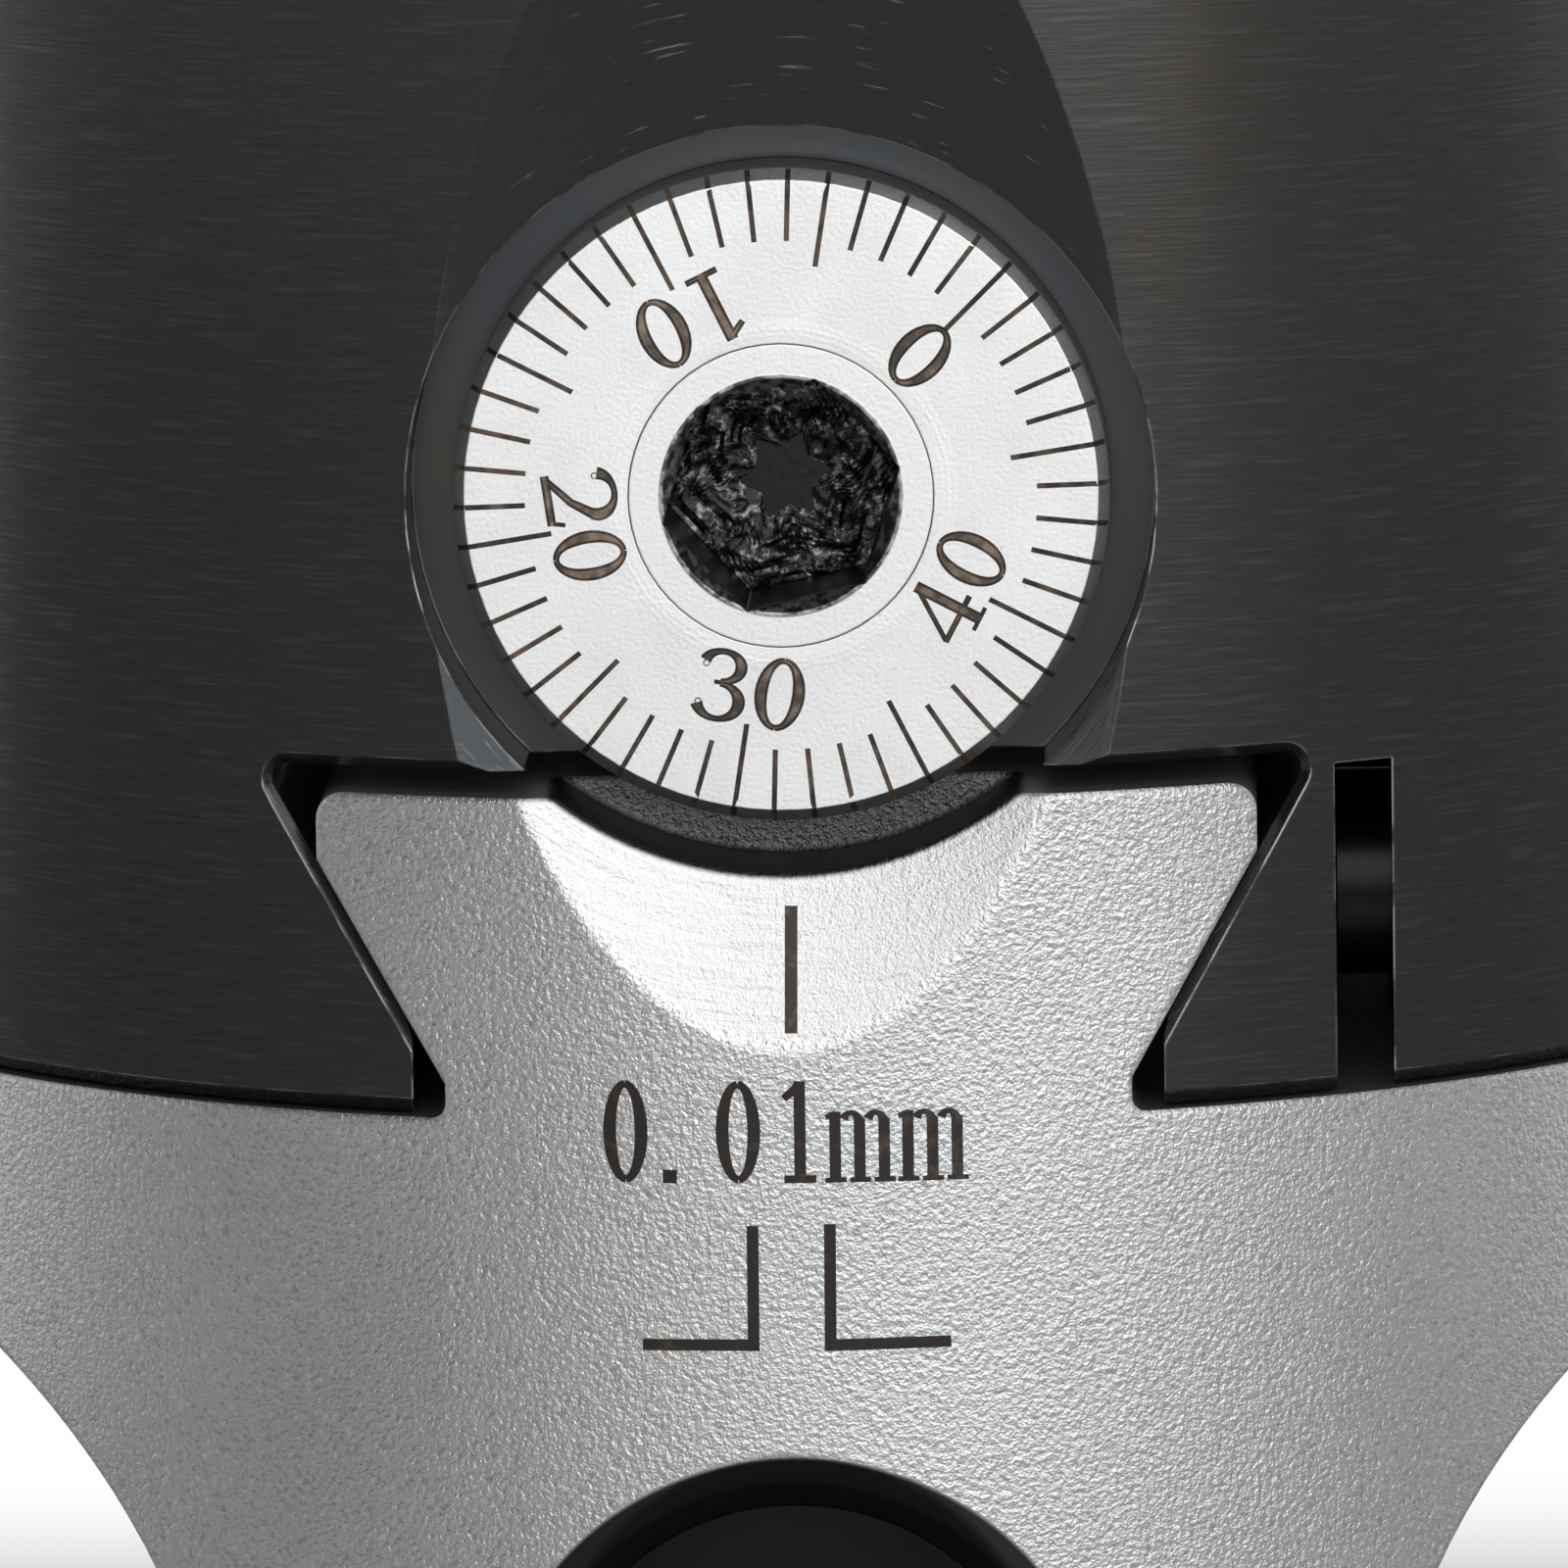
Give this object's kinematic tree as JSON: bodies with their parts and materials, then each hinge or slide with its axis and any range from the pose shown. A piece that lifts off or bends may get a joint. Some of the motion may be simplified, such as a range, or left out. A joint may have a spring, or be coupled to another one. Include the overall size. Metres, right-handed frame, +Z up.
{
  "type": "boring head",
  "caption": "Round boring head: a dovetail tool slide set off centre by a graduated lead screw, with upright and cross tool bores under a threaded arbor socket.",
  "frame": {"origin": "middle of the slide's bottom face, on the head's own axis", "axes": "+Z up along the head's axis towards the arbor socket, -Y out of the dial, +X to the right of the dial as its reader sees it"},
  "size_m": [0.05, 0.05, 0.0616],
  "materials": {
    "black_oxide_steel": "turned steel, hot black oxide with a thin oil film",
    "satin_steel": "bead-blasted steel under satin hard chrome",
    "dial_satin": "fine satin chrome with burnt-in graduations",
    "screw_steel": "satin chromed boss, dark broached socket, ground journal",
    "hardened_steel": "ground and hardened",
    "bush_bronze": "machined bronze",
    "nut_bronze": "machined bronze",
    "black_fastener": "black oxide fastener"
  },
  "bodies": {
    "head": {"head_body": "black_oxide_steel", "thrust_washer": "hardened_steel", "rear_bush": "bush_bronze"},
    "dial": {"lead_screw": "screw_steel", "graduated_dial": "dial_satin", "rear_washer": "hardened_steel", "thrust_nut": "black_fastener", "jam_nut": "black_fastener"},
    "slide": {"tool_slide": "satin_steel", "lead_nut": "nut_bronze", "lead_nut_screw": "black_fastener"},
    "gib_screw_front": {"gib_screw_front": "black_fastener"},
    "gib_screw_rear": {"gib_screw_rear": "black_fastener"},
    "slide_lock_screw": {"slide_lock_screw": "black_fastener"},
    "centre_bore_screw_lower": {"centre_bore_screw_lower": "black_fastener"},
    "centre_bore_screw_upper": {"centre_bore_screw_upper": "black_fastener"},
    "offset_bore_screw_lower": {"offset_bore_screw_lower": "black_fastener"},
    "offset_bore_screw_upper": {"offset_bore_screw_upper": "black_fastener"},
    "cross_bore_screw_front": {"cross_bore_screw_front": "black_fastener"},
    "cross_bore_screw_rear": {"cross_bore_screw_rear": "black_fastener"}
  },
  "joints": [
    {"name": "dial_turn", "type": "hinge", "parent": "head", "child": "dial", "pos_m": [0, -0.0218, 0.0416], "axis": [0, 1, 0], "range_deg": [0, 9360]},
    {"name": "slide_travel", "type": "slide", "parent": "head", "child": "slide", "axis": [0, 1, 0], "range_m": [0, 0.013]},
    {"name": "gib_screw_front_turn", "type": "slide", "parent": "head", "child": "gib_screw_front", "axis": [1, 0, 0], "range_m": [0, 0.002]},
    {"name": "gib_screw_rear_turn", "type": "slide", "parent": "head", "child": "gib_screw_rear", "axis": [1, 0, 0], "range_m": [0, 0.002]},
    {"name": "slide_lock_screw_turn", "type": "slide", "parent": "head", "child": "slide_lock_screw", "axis": [1, 0, 0], "range_m": [0, 0.002]},
    {"name": "centre_bore_screw_lower_turn", "type": "slide", "parent": "slide", "child": "centre_bore_screw_lower", "axis": [-1, 0, 0], "range_m": [0, 0.002]},
    {"name": "centre_bore_screw_upper_turn", "type": "slide", "parent": "slide", "child": "centre_bore_screw_upper", "axis": [-1, 0, 0], "range_m": [0, 0.002]},
    {"name": "offset_bore_screw_lower_turn", "type": "slide", "parent": "slide", "child": "offset_bore_screw_lower", "axis": [-1, 0, 0], "range_m": [0, 0.002]},
    {"name": "offset_bore_screw_upper_turn", "type": "slide", "parent": "slide", "child": "offset_bore_screw_upper", "axis": [-1, 0, 0], "range_m": [0, 0.002]},
    {"name": "cross_bore_screw_front_turn", "type": "slide", "parent": "slide", "child": "cross_bore_screw_front", "axis": [-1, 0, 0], "range_m": [0, 0.002]},
    {"name": "cross_bore_screw_rear_turn", "type": "slide", "parent": "slide", "child": "cross_bore_screw_rear", "axis": [-1, 0, 0], "range_m": [0, 0.002]}
  ],
  "couplings": [
    {"joint": "dial_turn", "follows": "slide_travel", "rad_per_m": 12566}
  ]
}
